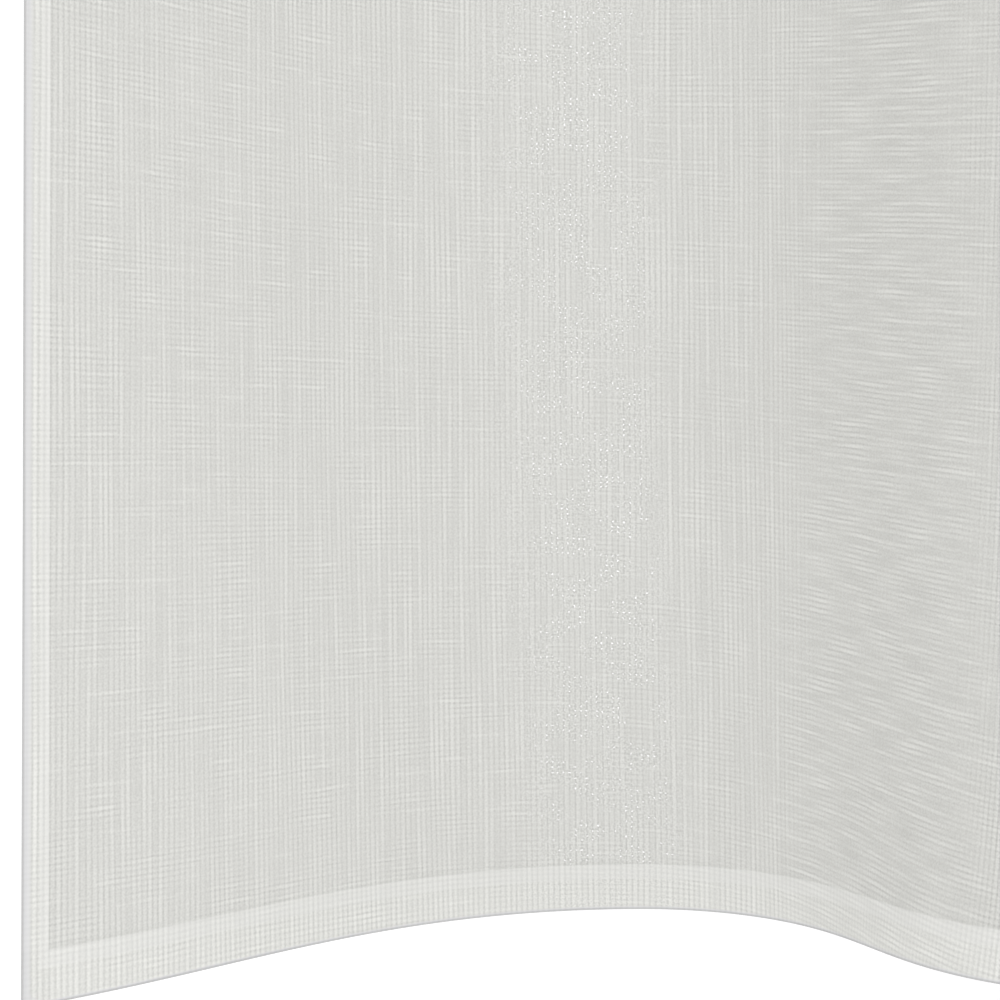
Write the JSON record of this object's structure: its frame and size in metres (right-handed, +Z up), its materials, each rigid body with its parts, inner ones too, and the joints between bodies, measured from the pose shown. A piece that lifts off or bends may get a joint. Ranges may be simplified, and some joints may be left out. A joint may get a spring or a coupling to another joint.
{
  "type": "pair of sheer curtains",
  "caption": "Pair of hung sheer curtains in a plain slubbed weave, falling in soft uneven folds, with narrow turned hems on all edges.",
  "frame": {"origin": "on the line that the curtains hang from, at the height of their top edges, midway between the panels and midway through the depth of their folds", "axes": "+Z up, +X to the right as seen from the front, +Y to the back"},
  "size_m": [2.1133, 0.1672, 2.5],
  "materials": {
    "sheer_cloth": "semi-sheer off-white plain weave with paired warp threads and uneven slubbed yarns, matt"
  },
  "bodies": {
    "root": {"panel_left": "sheer_cloth", "panel_right": "sheer_cloth"}
  },
  "joints": []
}
